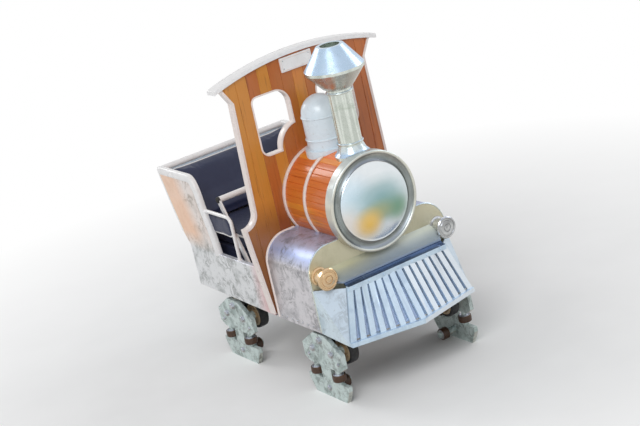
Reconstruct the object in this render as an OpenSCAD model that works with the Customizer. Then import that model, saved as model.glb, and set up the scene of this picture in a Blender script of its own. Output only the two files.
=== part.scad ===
// Lead car of a small family coaster, shaped as a steam engine, standing on its wheel carriers.
// Origin on the floor under the middle of the car, +X to the front, +Y to the left, +Z up.

/* [Whole car] */
// Distance from the middle of the car to the tip of the pilot, and to the end of the drawbar
half_length = 1020; // [1000:10:1100]
// Distance of the front axle in front of the middle
front_axle_x = 620; // [580:10:640]
// Distance between the two axles
wheelbase = 970; // [920:10:1000]
// Height of the floor pan's underside
deck_z = 460; // [450:5:480]

/* [Track fit] */
// Distance from the middle of the car to the middle of a rail
rail_y = 357; // [340:1:370]
// Height of the middle of a rail while the car stands on its carrier feet
rail_z = 146; // [140:1:152]
// Radius of a rail tube
rail_r = 50; // [46:1:52]

/* [Wheels] */
// Radius of a running wheel
run_wheel_r = 88; // [80:1:89]
// Width of a running wheel
run_wheel_w = 58; // [45:1:64]
// Distance from the axle to each running wheel of its pair
run_wheel_x = 95; // [94:1:98]
// Radius of a side wheel
side_wheel_r = 40; // [34:1:42]
// Width of a side wheel
side_wheel_w = 40; // [30:1:50]
// Distance from the axle to each side wheel of its pair
side_wheel_x = 110; // [105:1:120]
// Radius of an up-stop wheel
stop_wheel_r = 36; // [30:1:38]
// Width of an up-stop wheel
stop_wheel_w = 44; // [36:1:50]

/* [Carriers and axles] */
// Distance from the middle of the car to a carrier plate's inner face
carrier_y = 435; // [432:1:445]
// Thickness of a carrier plate
carrier_t = 26; // [24:1:32]
// Height of the peak of a carrier plate
carrier_top_z = 388; // [384:1:390]
// Half length of a carrier plate
carrier_half = 200; // [190:1:210]
// Radius of the stub that joins a carrier to its beam
stub_r = 22; // [18:1:23]
// Radius of the vertical pin that the axle steers on
king_r = 24; // [20:1:30]

/* [Engine body] */
// Height of the boiler's middle
boiler_z = 1040; // [1030:5:1050]
// Radius of the boiler
boiler_r = 270; // [255:5:275]
// Rear face of the smokebox ring
ring_x = 690; // [680:5:700]
// How far the smokebox ring stands out from the boiler
ring_step = 15; // [10:1:20]
// Length of the smokebox ring
ring_len = 70; // [60:5:80]
// Radius of the smokebox door
door_r = 234; // [220:1:240]
// How far the door bulges
door_bulge = 48; // [30:1:60]
// Place of the smokestack along the car
stack_x = 635; // [600:5:640]
// Height of the smokestack's rim
stack_top_z = 1930; // [1925:1:1940]
// Radius of the smokestack's cap at its widest
stack_cap_r = 168; // [150:1:180]
// Place of the steam dome along the car
dome_x = 385; // [370:5:400]
// Radius of the steam dome
dome_r = 110; // [100:1:130]
// Height of the steam dome's tip
dome_top_z = 1626; // [1560:2:1680]

/* [Fairing and front] */
// Half width of the fairing beside the boiler
fairing_half = 470; // [470:1:480]
// Height of the fairing's deck
fairing_top_z = 890; // [870:5:900]
// Height of the fairing's lower edge
skirt_z = 410; // [405:1:414]
// Radius of the fairing's shoulders
shoulder_r = 150; // [120:5:160]
// Thickness of the sheet metal
sheet = 6; // [4:1:8]
// Height of a buffer's middle
buffer_z = 735; // [725:5:745]
// Distance from the middle of the car to a buffer
buffer_y = 412; // [400:1:416]
// Radius of a buffer's head
buffer_r = 64; // [55:1:66]
// Number of slats in the pilot
slat_n = 15; // [11:2:17]
// Width of a pilot slat
slat_w = 34; // [28:1:36]

/* [Cab] */
// Rear face of the cab front
cab_x = 195; // [190:1:200]
// Thickness of the cab front
cab_t = 40; // [30:1:44]
// Half width of the cab front at its widest
cab_half = 555; // [540:1:560]
// Height at which the cab front is widest
cab_wide_z = 975; // [960:5:990]
// Height of the roof's crown
roof_top_z = 1884; // [1870:1:1890]
// How far the roof stands out past the cab front's widest place
roof_over = 0; // [-10:1:10]
// How far the roof falls from its crown to its eaves
roof_fall = 84; // [70:2:100]
// Thickness of the roof
roof_t = 25; // [20:1:30]
// Length of the roof along the car
roof_len = 80; // [70:1:100]

/* [Cockpit] */
// Half width of the seat's side panels
side_half = 470; // [466:1:470]
// Thickness of a side panel
side_t = 30; // [24:1:34]
// Height of the sill that the riders step over
sill_z = 692; // [680:1:700]
// Height of the seat cushion's top
seat_z = 800; // [780:5:810]
// Thickness of the seat cushion
cushion_t = 100; // [80:5:120]
// Height of the lap bar's tube
bar_z = 1015; // [990:5:1040]
// Radius of the lap bar's tube
bar_r = 19; // [16:1:22]

/* [Coupling] */
// Radius of the bore in the drawbar's eye
eye_bore_r = 16; // [12:1:18]
// Height of the drawbar's middle
drawbar_z = 424; // [420:1:426]

/* [Hidden] */
$fn = 64;
gap = 0.3;
run_gap = 0.05;
rear_axle_x = front_axle_x - wheelbase;
run_wheel_z = rail_z + rail_r + run_wheel_r;
side_wheel_y = rail_y + rail_r + side_wheel_r + 2;
stop_wheel_z = rail_z - rail_r - stop_wheel_r - 2;
stub_z = carrier_top_z - stub_r - 15;
beam_half = 300;
beam_z0 = stub_z - stub_r - 4;
beam_z1 = stub_z + stub_r + 4;
pad_z = beam_z1 + 8;
run_pin_r = 15;
side_pin_r = 10;
stop_pin_r = 12;
chassis_z = deck_z - 60;
chassis_y = 250;
rail_top = deck_z - 20;
bolster_r = 62;
ring_r = boiler_r + ring_step;
door_x = ring_x + ring_len;
door_in = 14;
cab_front_x = cab_x + cab_t;
side_in = side_half - side_t;
fairing_in = fairing_half - sheet;
back_t = 20;
band_t = 8;
band_w = 24;
band_x = [cab_front_x + gap, 452];
roof_half = cab_half + roof_over;
roof_r = (roof_half * roof_half + roof_fall * roof_fall) / (2 * roof_fall);
roof_x = cab_front_x + 15 - roof_len;
plate_t = 12;
bar_x = -335;
pivot_x = -95;
pivot_z = 560;
arm_y = 392;
arm_t = 8;
drawbar_pin_x = -700;
drawbar_pin_r = 14;
bench_x = -130;
bench_half = 374;
rail_top_z = 957;
arm_rail_r = 11;
buffer_shank_r = 44;
window_in = 92;
window_out = 333;
window_rise = 300;
window_h = 345;
window_z0 = boiler_z + window_rise;
window_z1 = window_z0 + window_h;
window_step_r = 135;
window_step_in = 20;
window_low_r = 50;
window_high_r = 35;
window_inner_r = 90;
trim_t = 4;
trim_lip = 11;
cab_waist_half = 452;
cab_eaves_half = 510;
pilot_top = [840, 338, 660];
pilot_foot = [915, 428, 360];
pilot_bar_y = 250;
slat_d = 16;
drawbar_t = 24;
drawbar_w = 40;
eye_r = 34;
eye_t = 40;
buffer_neck = 70;
buffer_head = [84, 98];
buffer_len = 103;
rest_t = [140, 95, 75];
rest_nose = [23, 18];
hip_top_x = [-470, -175];

// Rear edge of the seat from its foot to its top, as X and Z
BACK_EDGE = [[-695, 430], [-697, 690], [-755, 775], [-835, 964], [-908, 1155]];
function back_x(z) = lookup(z, [for (p = BACK_EDGE) [p[1], p[0]]]);
// Front edge of the side panel from its top down to the sill
WING_EDGE = [[-495, 1155], [-455, 1070], [-437, 970], [-390, 829], [-362, sill_z]];
seat_foot_x = BACK_EDGE[0][0] + back_t + gap;
// Lower edge of a hip pad, as X and the height above the seat
HIP_EDGE = [[-150, 40], [-190, 12], [-400, 12]];

// Each row is a name's ending, the axle's place and the side
CARRIERS = [
    ["fl", front_axle_x, 1], ["fr", front_axle_x, -1],
    ["rl", rear_axle_x, 1], ["rr", rear_axle_x, -1]
];

// Side view drawn in X and Z, from y0 to y1
module along_y(y0, y1) {
    translate([0, y1, 0]) rotate([90, 0, 0]) linear_extrude(y1 - y0) children();
}

// Cross-section drawn in Y and Z, from x0 to x1
module along_x(x0, x1) {
    translate([x0, 0, 0]) rotate([90, 0, 90]) linear_extrude(x1 - x0) children();
}

// Revolved profile with its axis along +X, drawn as radius and distance
module turned_x(x, z) {
    translate([x, 0, z]) rotate([0, 90, 0]) rotate_extrude() children();
}

module both_sides() {
    children();
    mirror([0, 1, 0]) children();
}

function unit(v) = v / norm(v);

// Flat bar from p to q, w wide along the direction e and d deep
module slat(p, q, e, w, d) {
    v = unit(q - p);
    n = unit(cross(e, v));
    u = cross(v, n);
    multmatrix([[n[0], u[0], v[0], p[0]], [n[1], u[1], v[1], p[1]], [n[2], u[2], v[2], p[2]], [0, 0, 0, 1]])
        translate([-d / 2, -w / 2, 0]) cube([d, w, norm(q - p)]);
}

module boiler_cut(r, x0, x1) {
    translate([x0, 0, boiler_z]) rotate([0, 90, 0]) cylinder(r = r, h = x1 - x0);
}

// Two steel rails along the car, under the cross members
module frame_rails() {
    color("dimgray") both_sides() translate([seat_foot_x, chassis_y - 30, chassis_z])
        cube([ring_x - sheet - gap - seat_foot_x, 60, rail_top - chassis_z]);
}

// Beams across the car, the bolster that each axle turns under, and the drawbar's fork
module cross_members() {
    beam_t = deck_z - gap - rail_top;
    fork_len = 60;
    fork_r = 45;
    fork_cut = fork_r + 15;
    fork_h = deck_z - gap - chassis_z;
    color("dimgray") difference() {
        union() {
            for (x = [seat_foot_x, rear_axle_x - 30, 0])
                translate([x, gap - side_in, rail_top]) cube([60, 2 * (side_in - gap), beam_t]);
            for (x = [cab_front_x + 20, front_axle_x - 20])
                translate([x, gap - fairing_in, rail_top]) cube([40, 2 * (fairing_in - gap), beam_t]);
            for (x = [rear_axle_x, front_axle_x])
                translate([x, 0, pad_z + gap]) cylinder(r = bolster_r, h = deck_z - pad_z - 2 * gap);
            translate([drawbar_pin_x, -fork_r, chassis_z])
                cube([seat_foot_x + fork_len - drawbar_pin_x, 2 * fork_r, fork_h]);
            translate([drawbar_pin_x, 0, chassis_z]) cylinder(r = fork_r, h = fork_h);
        }
        for (x = [rear_axle_x, front_axle_x])
            translate([x, 0, pad_z - 10]) cylinder(r = king_r + run_gap, h = 100);
        translate([drawbar_pin_x - fork_cut, -fork_cut, drawbar_z - drawbar_t / 2 - gap])
            cube([fork_cut + fork_len - 20, 2 * fork_cut, drawbar_t + 2 * gap]);
    }
    color("dimgray") translate([drawbar_pin_x, 0, chassis_z]) cylinder(r = drawbar_pin_r, h = fork_h);
}

module floor_pan() {
    color("gray") translate([seat_foot_x, gap - side_in, deck_z])
        cube([cab_x - gap - seat_foot_x, 2 * (side_in - gap), plate_t]);
}

module axle(x) {
    color("slategray") translate([x, 0, 0]) {
        translate([-45, -beam_half, beam_z0]) cube([90, 2 * beam_half, beam_z1 - beam_z0]);
        translate([0, 0, beam_z1 - 5]) cylinder(r = bolster_r, h = pad_z - beam_z1 + 5);
        translate([0, 0, pad_z]) cylinder(r = king_r, h = deck_z - pad_z - 10);
        translate([0, carrier_y, stub_z]) rotate([90, 0, 0]) cylinder(r = stub_r, h = 2 * carrier_y);
    }
}

// One wheel carrier, drawn for the left side
module carrier_plate() {
    notch_z0 = rail_z - side_wheel_w / 2 - 18;
    notch_z1 = rail_z + side_wheel_w / 2 + 22;
    below = rail_z - side_wheel_w / 2 - gap;
    above = rail_z + side_wheel_w / 2 + gap;
    c = carrier_half;
    color("lightsteelblue") {
        along_y(carrier_y, carrier_y + carrier_t) {
            polygon([[-60, carrier_top_z], [60, carrier_top_z], [c, 300], [c, notch_z1 + 28],
                [c - 45, notch_z1], [-c + 45, notch_z1], [-c, notch_z1 + 28], [-c, 300]]);
            translate([-50, notch_z0 - 5]) square([100, notch_z1 - notch_z0 + 10]);
            polygon([[-c, notch_z0], [c, notch_z0], [c, notch_z0 - 30], [c - 45, 0],
                [45 - c, 0], [-c, notch_z0 - 30]]);
        }
        for (s = [-1, 1]) {
            translate([s * run_wheel_x, carrier_y, run_wheel_z]) rotate([90, 0, 0]) {
                cylinder(r = run_pin_r, h = carrier_y - rail_y + run_wheel_w / 2 + 8);
                cylinder(r = 26, h = carrier_y - rail_y - run_wheel_w / 2 - gap);
                translate([0, 0, carrier_y - rail_y + run_wheel_w / 2 + gap]) cylinder(r = 24, h = 10);
            }
            translate([s * side_wheel_x, side_wheel_y, 0]) {
                translate([0, 0, notch_z0 - 2]) cylinder(r = side_pin_r, h = notch_z1 - notch_z0 + 4);
                translate([0, 0, notch_z0 - 2]) cylinder(r = 16, h = below - notch_z0 + 2);
                translate([0, 0, above]) cylinder(r = 16, h = notch_z1 + 2 - above);
            }
        }
        translate([0, carrier_y, stop_wheel_z]) rotate([90, 0, 0]) {
            cylinder(r = stop_pin_r, h = carrier_y - rail_y + stop_wheel_w / 2 + 8);
            cylinder(r = 20, h = carrier_y - rail_y - stop_wheel_w / 2 - gap);
            translate([0, 0, carrier_y - rail_y + stop_wheel_w / 2 + gap]) cylinder(r = 20, h = 10);
        }
    }
}

module carrier(x, side) {
    translate([x, 0, 0]) mirror([0, side < 0 ? 1 : 0, 0]) carrier_plate();
}

// Wheel with a raised rim, a dished web and a bored hub, its axis along +Z
module wheel(r, w, bore) {
    hub = bore + 13;
    rotate_extrude() {
        translate([r * 0.72, -w / 2]) square([r * 0.28 - 4, w]);
        translate([r * 0.8, -w / 2 + 4]) square([r * 0.2, w - 8]);
        translate([bore + run_gap, -w * 0.3]) square([r * 0.75 - bore, w * 0.6]);
        translate([bore + run_gap, -w / 2]) square([hub - bore, w]);
    }
}

module run_wheel(x, side, s) {
    color("black") translate([x + s * run_wheel_x, side * rail_y, run_wheel_z]) rotate([90, 0, 0])
        wheel(run_wheel_r, run_wheel_w, run_pin_r);
}

module side_wheel(x, side, s) {
    color("saddlebrown") translate([x + s * side_wheel_x, side * side_wheel_y, rail_z])
        wheel(side_wheel_r, side_wheel_w, side_pin_r);
}

module stop_wheel(x, side) {
    color("saddlebrown") translate([x, side * rail_y, stop_wheel_z]) rotate([90, 0, 0])
        wheel(stop_wheel_r, stop_wheel_w, stop_pin_r);
}

module boiler_barrel() {
    color("peru") boiler_cut(boiler_r, cab_front_x + gap, ring_x - gap);
}

module boiler_bands() {
    color("mistyrose") for (x = band_x) difference() {
        boiler_cut(boiler_r + band_t, x, x + band_w);
        boiler_cut(boiler_r + gap, x - 1, x + band_w + 1);
        translate([x - 1, -boiler_r, 0]) cube([band_w + 2, 2 * boiler_r, fairing_top_z + gap]);
    }
}

module smokebox_ring() {
    color("lightgray") turned_x(ring_x, boiler_z) difference() {
        square([ring_r, ring_len]);
        translate([0, ring_len - door_in]) square([door_r + gap, door_in + 1]);
        translate([ring_r, ring_len]) rotate(45) square(20, center = true);
    }
}

module smokebox_door() {
    door_rim = 8;
    bulge_r = (door_r * door_r + door_bulge * door_bulge) / (2 * door_bulge);
    color("whitesmoke") turned_x(door_x - door_in + gap, boiler_z) intersection() {
        square([door_r, door_bulge + door_in]);
        translate([0, door_bulge + door_rim - bulge_r]) circle(r = bulge_r, $fn = 200);
    }
}

module smokestack() {
    tube_r = 68;
    rim_r = 78;
    foot_z = boiler_z + boiler_r;
    neck_z = stack_top_z - 245;
    cap_z = stack_top_z - 130;
    color("silver") difference() {
        translate([stack_x, 0, 0]) rotate_extrude() polygon([
            [0, foot_z - 80], [tube_r + 32, foot_z - 80], [tube_r + 32, foot_z],
            [tube_r + 16, foot_z + 18], [tube_r, foot_z + 60], [tube_r, neck_z], [tube_r + 20, neck_z + 12],
            [stack_cap_r, cap_z - 8], [stack_cap_r, cap_z + 8], [rim_r, stack_top_z],
            [rim_r - 22, stack_top_z], [rim_r - 22, stack_top_z - 60], [0, stack_top_z - 60]]);
        boiler_cut(boiler_r + gap, 0, ring_x - gap + 1);
        boiler_cut(ring_r + gap, ring_x - gap, door_x);
    }
}

module steam_dome() {
    base = boiler_z + boiler_r;
    color("azure") difference() {
        translate([dome_x, 0, 0]) rotate_extrude() union() {
            translate([0, base - 60]) square([dome_r, dome_top_z - dome_r - base + 60]);
            translate([0, base - 60]) square([dome_r + 18, 72]);
            intersection() {
                translate([0, dome_top_z - dome_r]) circle(r = dome_r);
                translate([0, dome_top_z - dome_r - 1]) square([dome_r, dome_r + 1]);
            }
        }
        boiler_cut(boiler_r + gap, 0, ring_x);
        for (x = band_x) boiler_cut(boiler_r + band_t + gap, x - gap, x + band_w + gap);
    }
}

// Half widths h, from z0 to z1, with round shoulders of radius r
module shoulder_profile(h, z0, z1, r) {
    translate([-h, z0]) square([2 * h, z1 - r - z0]);
    translate([-h + r, z0]) square([2 * (h - r), z1 - z0]);
    for (s = [-1, 1]) translate([s * (h - r), z1 - r]) circle(r = r);
}

module fairing() {
    color("lightgray") difference() {
        union() {
            along_x(cab_front_x + gap, ring_x) difference() {
                shoulder_profile(fairing_half, skirt_z, fairing_top_z, shoulder_r);
                shoulder_profile(fairing_in, skirt_z - 1, fairing_top_z - sheet, shoulder_r - sheet);
            }
            along_x(ring_x - sheet, ring_x)
                shoulder_profile(fairing_half, skirt_z, fairing_top_z, shoulder_r);
        }
        boiler_cut(boiler_r + gap, 0, door_x);
    }
}

module nose_shelf() {
    hollow_r = 188;
    lip_x = 815;
    lip_z = 690;
    shelf_h = fairing_top_z - lip_z;
    color("silver") difference() {
        along_y(10 - buffer_y, buffer_y - 10) difference() {
            translate([ring_x + gap, lip_z]) square([lip_x - ring_x - gap, shelf_h]);
            translate([lip_x + 8, fairing_top_z]) circle(r = hollow_r, $fn = 240);
            difference() {
                translate([ring_x + gap + sheet, lip_z + sheet]) square([lip_x - ring_x, shelf_h]);
                translate([lip_x + 8, fairing_top_z]) circle(r = hollow_r + sheet, $fn = 240);
            }
        }
        boiler_cut(ring_r + gap, ring_x - 1, door_x + gap);
        both_sides() translate([0, 0, lip_z - 1]) linear_extrude(shelf_h + 2) polygon([
            [ring_x, buffer_y - 10], [lip_x, pilot_top[1]],
            [lip_x + 10, buffer_y + 10], [ring_x, buffer_y + 10]]);
        both_sides() translate([ring_x, buffer_y, buffer_z]) rotate([0, 90, 0]) {
            cylinder(r = buffer_shank_r + gap, h = buffer_len);
            translate([0, 0, buffer_neck - 2]) cylinder(r = buffer_r + 1, h = buffer_len);
        }
    }
}

// Flat cheeks from the fairing's front edge to the pilot's sides
module nose_cheeks() {
    top_z = buffer_z - buffer_r - 4;
    color("silver") both_sides() hull() {
        translate([ring_x + gap, fairing_in, skirt_z]) cube([1, sheet, top_z - skirt_z]);
        translate([pilot_foot[0] - 30, pilot_foot[1] - sheet, pilot_foot[2]]) cube([1, sheet, 1]);
        translate([pilot_top[0] - 20, pilot_top[1] - sheet, pilot_top[2]]) cube([1, sheet, 1]);
    }
}

module buffers() {
    color("gainsboro") both_sides() translate([ring_x + gap, buffer_y, buffer_z]) rotate([0, 90, 0])
        rotate_extrude() polygon([[0, 0], [buffer_shank_r, 0], [buffer_shank_r, buffer_neck],
            [buffer_r, buffer_head[0]], [buffer_r, buffer_head[1]], [buffer_shank_r, buffer_len],
            [0, buffer_len]]);
}

// Places on the pilot's slanted face at t = -1 to 1 across the car, and the way its face runs there
function pilot_low(t) = [half_length - 15 - abs(t) * (half_length - pilot_foot[0]),
    t * (pilot_foot[1] - 15), pilot_foot[2] + 2];
function pilot_high(t) = [pilot_top[0], t * (pilot_top[1] - 13), pilot_top[2]];
function pilot_foot_x(y) = half_length - (half_length - pilot_foot[0]) * y / pilot_foot[1];
function pilot_edge(t) = unit([-sign(t) * (half_length - pilot_foot[0]) / 2, pilot_foot[1], 0]);

module pilot() {
    color("gainsboro") {
        translate([pilot_top[0] - 14, -pilot_top[1], pilot_top[2] - 14]) cube([28, 2 * pilot_top[1], 28]);
        translate([0, 0, pilot_foot[2]]) linear_extrude(26) polygon([
            [pilot_foot[0], -pilot_foot[1]], [half_length, 0], [pilot_foot[0], pilot_foot[1]],
            [pilot_foot[0] - 24, pilot_foot[1]], [half_length - 26, 0],
            [pilot_foot[0] - 24, -pilot_foot[1]]]);
        for (i = [0 : slat_n - 1]) {
            t = 2 * i / (slat_n - 1) - 1;
            slat(pilot_low(t), pilot_high(t), pilot_edge(t), slat_w, slat_d);
        }
        both_sides() {
            translate([ring_x + gap, pilot_bar_y - 30, skirt_z + 2]) cube([8, 60, 48]);
            slat([ring_x + 6, pilot_bar_y, skirt_z + 24],
                [pilot_foot_x(pilot_bar_y) - 28, pilot_bar_y, pilot_foot[2] + 13], [0, 1, 0], 40, 20);
        }
    }
}

// Sheet behind the pilot's slats, bent along its middle, with one strip from slat to slat
module pilot_sheet() {
    behind = slat_d / 2 + 2;
    low_s = 0.105;
    high_s = 0.955;
    n = slat_n - 1;
    function at(t, s, d) = pilot_low(t) + s * (pilot_high(t) - pilot_low(t))
        - d * unit(cross(pilot_edge(t), pilot_high(t) - pilot_low(t)));
    function ring(t) = [at(t, low_s, behind), at(t, high_s, behind),
        at(t, high_s, behind + 3), at(t, low_s, behind + 3)];
    pts = [for (i = [0 : n]) each ring(0.985 * (2 * i / n - 1))];
    ends = [[3, 2, 1, 0], [for (k = [0 : 3]) 4 * n + k]];
    // Front and back share their diagonals, which mirror at the middle, so the sheet keeps its thickness
    sides = [for (i = [0 : n - 1], k = [0 : 3])
        let (a = 4 * i + k, b = 4 * i + (k + 1) % 4) each (k == 2) != (i < n / 2)
            ? [[a, b, b + 4], [a, b + 4, a + 4]] : [[a, b, a + 4], [b, b + 4, a + 4]]];
    color("lightsteelblue") polyhedron(pts, concat(ends, sides));
}

// Half outline of the cab front on side s, grown by out sideways and by over up and down
function cab_edge(s, out, over) = [[s * (fairing_half + 25 + out), 440 - over],
    [s * (cab_half + out), cab_wide_z],
    [s * (cab_half + out), cab_wide_z + cab_half - fairing_half],
    [s * (fairing_half + out), cab_wide_z + cab_half - fairing_half],
    [s * (cab_waist_half + out), roof_top_z - 190],
    [s * (cab_eaves_half + out), roof_top_z - 90], [s * (cab_eaves_half + out), roof_top_z + over]];

// Cab front drawn from its side edges, without its cuts for the roof and the floor
module cab_sides(out, over) {
    left = cab_edge(1, out, over);
    right = cab_edge(-1, out, over);
    waist_r = cab_half - fairing_half;
    difference() {
        polygon(concat(left, [for (i = [len(right) - 1 : -1 : 0]) right[i]]));
        for (s = [-1, 1]) translate([s * cab_half, cab_wide_z + waist_r]) circle(r = waist_r - out);
    }
}

module under_roof() {
    translate([0, roof_top_z - roof_r]) circle(r = roof_r - roof_t - gap, $fn = 400);
}

// What a rounded corner at the origin takes away, the corner pointing to sx, sy
module corner(r, sx, sy) {
    over = 5;
    difference() {
        translate([sx > 0 ? -r : -over, sy > 0 ? -r : -over]) square(r + over);
        translate([-sx * r, -sy * r]) circle(r = r);
    }
}

// Left window, grown by out: its lower inner corner steps round the boiler
module cab_window(out) {
    y0 = window_in - out;
    y1 = window_out + out;
    z0 = window_z0 - out;
    z1 = window_z1 + out;
    difference() {
        translate([y0, z0]) square([y1 - y0, z1 - z0]);
        translate([window_in - window_step_in, window_z0]) circle(r = window_step_r - out);
        for (c = [[y1, z0, window_low_r, 1, -1], [y1, z1, window_high_r, 1, 1],
            [y0, z1, window_inner_r, -1, 1]])
            translate([c[0], c[1]]) corner(c[2] + out, c[3], c[4]);
    }
}

module cab_front() {
    color("sienna") along_x(cab_x, cab_front_x) difference() {
        intersection() {
            cab_sides(0, 0);
            under_roof();
        }
        translate([-side_half - gap, 0]) square([2 * (side_half + gap), deck_z + plate_t + gap]);
        cab_window(0);
        mirror([1, 0]) cab_window(0);
    }
}

// Pale channel that wraps the cab front's side edges
module cab_trim() {
    color("mistyrose") difference() {
        along_x(cab_x - trim_t, cab_front_x + trim_t) intersection() {
            difference() {
                cab_sides(trim_t, 0);
                cab_sides(-trim_lip, 20);
            }
            under_roof();
        }
        along_x(cab_x - gap, cab_front_x + gap) cab_sides(gap, 20);
    }
}

// Pale frame lining each window, with a lip on both faces of the cab front
module window_trims() {
    lip = trim_lip / 2;
    color("mistyrose") both_sides() difference() {
        along_x(cab_x - trim_t, cab_front_x + trim_t) difference() {
            cab_window(lip);
            cab_window(-trim_t);
        }
        along_x(cab_x - gap, cab_front_x + gap) difference() {
            cab_window(lip + 5);
            cab_window(-gap);
        }
    }
}

module cab_roof() {
    color("white") along_x(roof_x, roof_x + roof_len) intersection() {
        difference() {
            translate([0, roof_top_z - roof_r]) circle(r = roof_r, $fn = 400);
            translate([0, roof_top_z - roof_r]) circle(r = roof_r - roof_t, $fn = 400);
        }
        translate([-roof_half, roof_top_z - roof_fall - roof_t])
            square([2 * roof_half, roof_fall + 2 * roof_t]);
    }
}

module name_plate() {
    color("mistyrose") along_x(cab_front_x + gap, cab_front_x + 12) intersection() {
        translate([-105, roof_top_z - 118]) square([210, 82]);
        under_roof();
    }
}

module side_shape() {
    polygon(concat(BACK_EDGE, WING_EDGE, [[cab_x - gap, sill_z], [cab_x - gap, skirt_z]]));
}

module side_panels() {
    color("silver") both_sides() along_y(side_in, side_half) side_shape();
}

module seat_shell() {
    color("silver") along_y(-side_in + gap, side_in - gap) difference() {
        polygon(concat(BACK_EDGE, [for (i = [4 : -1 : 0]) BACK_EDGE[i] + [back_t, 0]]));
        translate([BACK_EDGE[0][0] - 1, 0]) square([back_t + 2, deck_z + gap]);
    }
}

module seat_bench() {
    color("midnightblue") along_y(-bench_half, bench_half) polygon([
        [seat_foot_x, deck_z + plate_t], [bench_x - 40, deck_z + plate_t],
        [bench_x - 10, seat_z - cushion_t - gap], [seat_foot_x, seat_z - cushion_t - gap]]);
}

module seat_cushion() {
    z0 = seat_z - cushion_t;
    behind = back_t + 5;
    color("midnightblue") along_y(-bench_half, bench_half) polygon([
        [back_x(z0) + behind + 8, z0], [bench_x, z0], [bench_x, seat_z - 20], [bench_x - 20, seat_z],
        [back_x(seat_z) + behind, seat_z], [back_x(seat_z - 25) + behind, seat_z - 25]]);
}

module seat_backrest() {
    foot_z = seat_z + gap;
    bend_z = BACK_EDGE[3][1];
    top_z = BACK_EDGE[4][1] - 4;
    behind = back_t + 3;
    color("midnightblue") along_y(4 - side_in, side_in - 4) polygon([
        [back_x(foot_z) + behind, foot_z], [back_x(foot_z) + behind + rest_t[0], foot_z],
        [back_x(bend_z) + behind + rest_t[1], bend_z],
        [back_x(top_z) + behind + rest_t[2], top_z - rest_nose[1]],
        [back_x(top_z) + behind + rest_t[2] - rest_nose[0], top_z], [back_x(top_z) + behind, top_z],
        [back_x(bend_z) + behind, bend_z]]);
}

// Padded hip guards that hang from the arm rails
module hip_pads() {
    hip_t = 30;
    hip_top_z = rail_top_z - arm_rail_r - gap;
    color("midnightblue") both_sides() along_y(side_in - gap - hip_t, side_in - gap) polygon(concat(
        [for (x = hip_top_x) [x, hip_top_z]], [for (p = HIP_EDGE) [p[0], seat_z + p[1]]]));
}

// Rail beside each rider's hip: it leaves the wing, runs forward and turns down to the sill
module arm_rails() {
    bend = 45;
    rear_x = -445;
    front_x = -118;
    y = side_in + side_t / 2;
    color("mistyrose") difference() {
        both_sides() {
            translate([rear_x, y, rail_top_z]) rotate([0, 90, 0])
                cylinder(r = arm_rail_r, h = front_x - bend - rear_x);
            translate([front_x - bend, y, rail_top_z - bend]) rotate([90, 0, 0]) intersection() {
                rotate_extrude() translate([bend, 0]) circle(r = arm_rail_r);
                translate([0, 0, -arm_rail_r - 1]) cube([bend + 20, bend + 20, 2 * arm_rail_r + 2]);
            }
            translate([front_x, y, sill_z + gap]) {
                cylinder(r = arm_rail_r, h = rail_top_z - bend - sill_z - gap);
                cylinder(r = side_t / 2, h = 6);
            }
        }
        along_y(-side_half - 1, side_half + 1) translate([gap, 0]) side_shape();
    }
}

// One arm of the lap bar, from its pivot to the tube
module bar_arm() {
    slat([pivot_x, arm_y, pivot_z], [bar_x, arm_y, bar_z], [0, 1, 0], 12, 34);
    translate([pivot_x, arm_y + arm_t, pivot_z]) rotate([90, 0, 0]) cylinder(r = 26, h = 2 * arm_t);
}

module lap_bar() {
    color("gainsboro") {
        difference() {
            both_sides() bar_arm();
            translate([pivot_x, arm_y + 20, pivot_z]) rotate([90, 0, 0])
                cylinder(r = 12 + run_gap, h = 2 * arm_y + 40);
        }
        translate([bar_x, arm_y + arm_t, bar_z]) rotate([90, 0, 0])
            cylinder(r = bar_r, h = 2 * (arm_y + arm_t));
    }
}

module bar_brackets() {
    color("dimgray") both_sides() {
        translate([pivot_x, side_in - gap, pivot_z]) rotate([90, 0, 0]) {
            cylinder(r = 12, h = side_in - gap - arm_y + 16);
            cylinder(r = 34, h = side_in - gap - arm_y - arm_t - gap);
        }
        translate([pivot_x, arm_y - arm_t - gap, pivot_z]) rotate([90, 0, 0]) cylinder(r = 20, h = 10);
    }
}

module drawbar() {
    eye_x = -half_length + eye_r;
    color("darkgray") difference() {
        union() {
            translate([drawbar_pin_x, 0, drawbar_z - drawbar_t / 2]) cylinder(r = eye_r, h = drawbar_t);
            translate([eye_x, -drawbar_w / 2, drawbar_z - drawbar_t / 2])
                cube([drawbar_pin_x - eye_x, drawbar_w, drawbar_t]);
            translate([eye_x, 0, drawbar_z - eye_t / 2]) cylinder(r = eye_r, h = eye_t);
        }
        for (hole = [[drawbar_pin_x, drawbar_pin_r + run_gap], [eye_x, eye_bore_r]])
            translate([hole[0], 0, drawbar_z - eye_t]) cylinder(r = hole[1], h = 2 * eye_t);
    }
}

frame_rails();
cross_members();
floor_pan();
axle(front_axle_x);  // front_axle
axle(rear_axle_x);  // rear_axle
for (c = CARRIERS) {
    carrier(c[1], c[2]);
    for (s = [-1, 1]) {
        end = s > 0 ? "_a" : "_b";
        run_wheel(c[1], c[2], s);
        side_wheel(c[1], c[2], s);
    }
    stop_wheel(c[1], c[2]);
}
boiler_barrel();
boiler_bands();
smokebox_ring();
smokebox_door();
smokestack();
steam_dome();
fairing();
nose_shelf();
nose_cheeks();
buffers();
pilot();
pilot_sheet();
cab_front();
cab_trim();
window_trims();
cab_roof();
name_plate();
side_panels();
seat_shell();
seat_bench();
seat_cushion();
seat_backrest();
hip_pads();
arm_rails();
lap_bar();
bar_brackets();
drawbar();
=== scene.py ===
"""Lead car of a family coaster, shaped as a steam engine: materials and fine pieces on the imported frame."""
from math import copysign, cos, pi, radians, sin

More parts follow.
